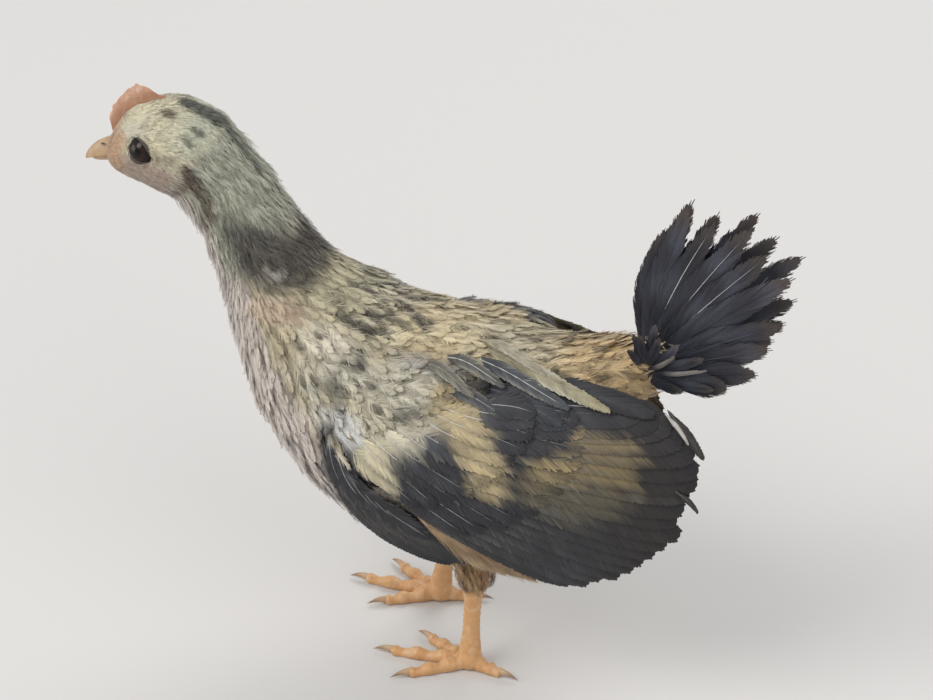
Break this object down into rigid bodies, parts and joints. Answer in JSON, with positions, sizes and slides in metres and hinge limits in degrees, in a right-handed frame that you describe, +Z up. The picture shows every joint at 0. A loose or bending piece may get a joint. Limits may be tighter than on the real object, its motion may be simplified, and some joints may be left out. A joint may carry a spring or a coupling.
{
  "type": "serama chicken",
  "caption": "Life-size young serama chicken standing, one foot ahead: upright fanned tail, low single comb, folded feathered wings, scaled legs and clawed toes.",
  "frame": {"origin": "on the floor, at the centre of the footprint of the bird's bounding box", "axes": "+Z up, the bird faces -X and its left side is towards -Y"},
  "size_m": [0.18, 0.0668, 0.1449],
  "materials": {
    "body_feather": "soft matt body feathers and down, cream with grey and black marks",
    "neck_feather": "fine soft neck feathers, grey-green to charcoal",
    "wing_feather": "wing feathers, charcoal with buff and grey patches",
    "tail_feather": "charcoal tail feathers with pale shafts",
    "comb_skin": "soft salmon comb skin",
    "beak_horn": "smooth yellow horn",
    "eye": "wet near-black eye",
    "leg_skin": "scaly peach-orange leg skin",
    "claw_horn": "smooth horn claws"
  },
  "bodies": {
    "root": {"head": "body_feather", "neck": "neck_feather", "torso": "body_feather", "tail": "tail_feather", "beak_upper": "beak_horn", "beak_lower": "beak_horn", "comb": "comb_skin", "eye_left": "eye", "wing_left_arm": "wing_feather", "wing_left_hand": "wing_feather", "thigh_left": "body_feather", "shank_left": "leg_skin", "foot_left": "leg_skin", "claw_left_middle": "claw_horn", "claw_left_inner": "claw_horn", "claw_left_outer": "claw_horn", "claw_left_hind": "claw_horn", "eye_right": "eye", "wing_right_arm": "wing_feather", "wing_right_hand": "wing_feather", "thigh_right": "body_feather", "shank_right": "leg_skin", "foot_right": "leg_skin", "claw_right_middle": "claw_horn", "claw_right_inner": "claw_horn", "claw_right_outer": "claw_horn", "claw_right_hind": "claw_horn"}
  },
  "joints": []
}
